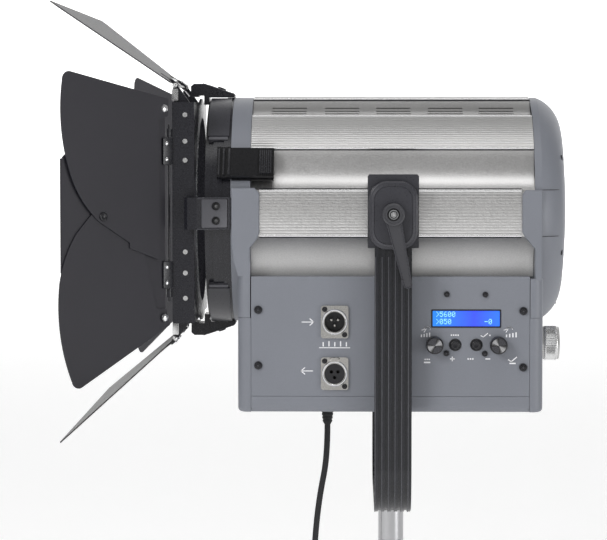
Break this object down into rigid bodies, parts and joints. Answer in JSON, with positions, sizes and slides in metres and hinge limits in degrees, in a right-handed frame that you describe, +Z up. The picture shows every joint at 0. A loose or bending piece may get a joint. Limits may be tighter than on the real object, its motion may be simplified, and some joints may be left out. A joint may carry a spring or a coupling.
{
  "type": "led fresnel spotlight",
  "caption": "Round finned LED Fresnel head with folding barn doors and a control case, tilting in a ribbed yoke with a stand socket.",
  "frame": {"origin": "centre of the mouth of the stand socket's bore", "axes": "+Z up the stand axis, +X to the rear of the light (it shines towards -X), -Y the side with the controls"},
  "size_m": [0.4777, 0.4748, 0.704],
  "materials": {
    "black_metal": "satin",
    "black_sheet": "matt",
    "bright_steel": "bright",
    "chrome_steel": "polished",
    "black_rubber": "satin",
    "black_plastic": "moulded",
    "silver_aluminium": "brushed",
    "grey_paint": "powder coat",
    "dark_screws": "blackened",
    "nickel": "satin nickel",
    "display_glass": "backlit",
    "circuit_board": "satin",
    "lens_glass": "clear",
    "zinc_box": "galvanised",
    "led_board": "phosphor",
    "brass_nut": "machined"
  },
  "bodies": {
    "yoke": {"yoke_bar": "black_metal", "pivot_bosses": "black_metal", "yoke_bolts": "bright_steel", "stand_socket": "chrome_steel", "cord_tube": "black_rubber", "cord_coil": "black_rubber", "mains_plug": "black_rubber"},
    "socket_lock": {"socket_lock_knob": "black_plastic"},
    "lever": {"tilt_lever": "black_plastic"},
    "head": {"body_extrusion": "silver_aluminium", "front_bezel": "grey_paint", "rear_cap": "grey_paint", "front_end_panel": "grey_paint", "rear_end_panel": "grey_paint", "side_panel_near": "grey_paint", "side_panel_far": "grey_paint", "bottom_tray": "grey_paint", "head_screws": "dark_screws", "data_socket_shells": "nickel", "data_socket_inserts": "black_plastic", "data_in_pins": "nickel", "display_window": "display_glass", "display_module": "circuit_board", "control_board": "circuit_board", "fresnel_lens": "lens_glass", "lens_retaining_ring": "black_metal", "guide_rods": "bright_steel", "rod_holders": "black_metal", "power_supply": "zinc_box", "tilt_blocks": "black_metal", "latch_guide": "black_plastic", "cable_gland": "black_rubber"},
    "carriage": {"led_carriage": "silver_aluminium", "led_module": "led_board", "reflector": "silver_aluminium", "heat_sink": "silver_aluminium", "fan_frame": "black_plastic", "drive_nut": "brass_nut"},
    "fan": {"fan_rotor": "black_plastic"},
    "focus": {"focus_knob": "silver_aluminium", "lead_screw": "bright_steel"},
    "knob_left": {"encoder_knob_left": "black_plastic"},
    "knob_right": {"encoder_knob_right": "black_plastic"},
    "mode_key": {"mode_button": "black_plastic"},
    "confirm_key": {"confirm_button": "black_plastic"},
    "latch": {"latch_slider": "black_plastic"},
    "ring": {"accessory_ring": "black_metal", "ring_ears": "black_metal", "ring_screws_and_rivets": "bright_steel", "barndoor_frame": "black_metal", "hinge_pins": "bright_steel"},
    "leaf_top": {"top_leaf": "black_sheet"},
    "leaf_bottom": {"bottom_leaf": "black_sheet"},
    "leaf_near": {"near_leaf": "black_sheet"},
    "leaf_far": {"far_leaf": "black_sheet"},
    "wing_near_upper": {"near_upper_wing": "black_sheet"},
    "wing_near_lower": {"near_lower_wing": "black_sheet"},
    "wing_far_upper": {"far_upper_wing": "black_sheet"},
    "wing_far_lower": {"far_lower_wing": "black_sheet"}
  },
  "joints": [
    {"name": "tilt", "type": "hinge", "parent": "yoke", "child": "head", "pos_m": [0, 0, 0.344], "axis": [0, 1, 0], "range_deg": [-30, 60], "deforming": ["cord_tube"]},
    {"name": "tilt_lever_turn", "type": "hinge", "parent": "yoke", "child": "lever", "pos_m": [0, -0.14, 0.344], "axis": [0, 1, 0], "range_deg": [-40, 40]},
    {"name": "socket_lock_turn", "type": "hinge", "parent": "yoke", "child": "socket_lock", "pos_m": [0, 0.02, 0.028], "axis": [0, 1, 0], "range_deg": [-180, 180]},
    {"name": "focus_turn", "type": "hinge", "parent": "head", "child": "focus", "pos_m": [0.15, 0, 0.212], "axis": [1, 0, 0], "range_deg": [-1441, 1441]},
    {"name": "led_carriage_slide", "type": "slide", "parent": "head", "child": "carriage", "axis": [1, 0, 0], "range_m": [-0.04, 0.04]},
    {"name": "fan_spin", "type": "hinge", "parent": "carriage", "child": "fan", "pos_m": [0.066, 0, 0.344], "axis": [1, 0, 0], "continuous": true},
    {"name": "left_encoder_turn", "type": "hinge", "parent": "head", "child": "knob_left", "pos_m": [0.0395, -0.118, 0.2196], "axis": [0, 1, 0], "continuous": true},
    {"name": "right_encoder_turn", "type": "hinge", "parent": "head", "child": "knob_right", "pos_m": [0.0998, -0.118, 0.2196], "axis": [0, 1, 0], "continuous": true},
    {"name": "mode_press", "type": "slide", "parent": "head", "child": "mode_key", "axis": [0, 1, 0], "range_m": [0, 0.0015], "stiffness_N_per_m": 400, "springref_m": -0.001},
    {"name": "confirm_press", "type": "slide", "parent": "head", "child": "confirm_key", "axis": [0, 1, 0], "range_m": [0, 0.0015], "stiffness_N_per_m": 400, "springref_m": -0.001},
    {"name": "latch_slide", "type": "slide", "parent": "head", "child": "latch", "axis": [1, 0, 0], "range_m": [0, 0.006], "stiffness_N_per_m": 300, "springref_m": -0.004},
    {"name": "ring_turn", "type": "hinge", "parent": "head", "child": "ring", "pos_m": [-0.17, 0, 0.344], "axis": [1, 0, 0], "range_deg": [-5, 45]},
    {"name": "top_leaf_hinge", "type": "hinge", "parent": "ring", "child": "leaf_top", "pos_m": [-0.208, 0, 0.465], "axis": [0, 1, 0], "range_deg": [-12, 34]},
    {"name": "bottom_leaf_hinge", "type": "hinge", "parent": "ring", "child": "leaf_bottom", "pos_m": [-0.208, 0, 0.223], "axis": [0, -1, 0], "range_deg": [-4, 32]},
    {"name": "near_leaf_hinge", "type": "hinge", "parent": "ring", "child": "leaf_near", "pos_m": [-0.2124, -0.106, 0.344], "axis": [0, 0, 1], "range_deg": [-75, 50]},
    {"name": "far_leaf_hinge", "type": "hinge", "parent": "ring", "child": "leaf_far", "pos_m": [-0.2124, 0.106, 0.344], "axis": [0, 0, -1], "range_deg": [-90, 35]},
    {"name": "near_upper_wing_turn", "type": "hinge", "parent": "leaf_near", "child": "wing_near_upper", "pos_m": [-0.21844, -0.11125, 0.443], "axis": [-0.6561, 0.7547, 0], "range_deg": [-4, 10]},
    {"name": "near_lower_wing_turn", "type": "hinge", "parent": "leaf_near", "child": "wing_near_lower", "pos_m": [-0.21844, -0.11125, 0.245], "axis": [0.6561, -0.7547, 0], "range_deg": [-17, 0]},
    {"name": "far_upper_wing_turn", "type": "hinge", "parent": "leaf_far", "child": "wing_far_upper", "pos_m": [-0.2164, 0.11293, 0.443], "axis": [0.866, 0.5, 0], "range_deg": [-4, 10]},
    {"name": "far_lower_wing_turn", "type": "hinge", "parent": "leaf_far", "child": "wing_far_lower", "pos_m": [-0.2164, 0.11293, 0.245], "axis": [-0.866, -0.5, 0], "range_deg": [-17, 0]}
  ],
  "couplings": [
    {"joint": "focus_turn", "follows": "led_carriage_slide", "rad_per_m": 628.32}
  ]
}
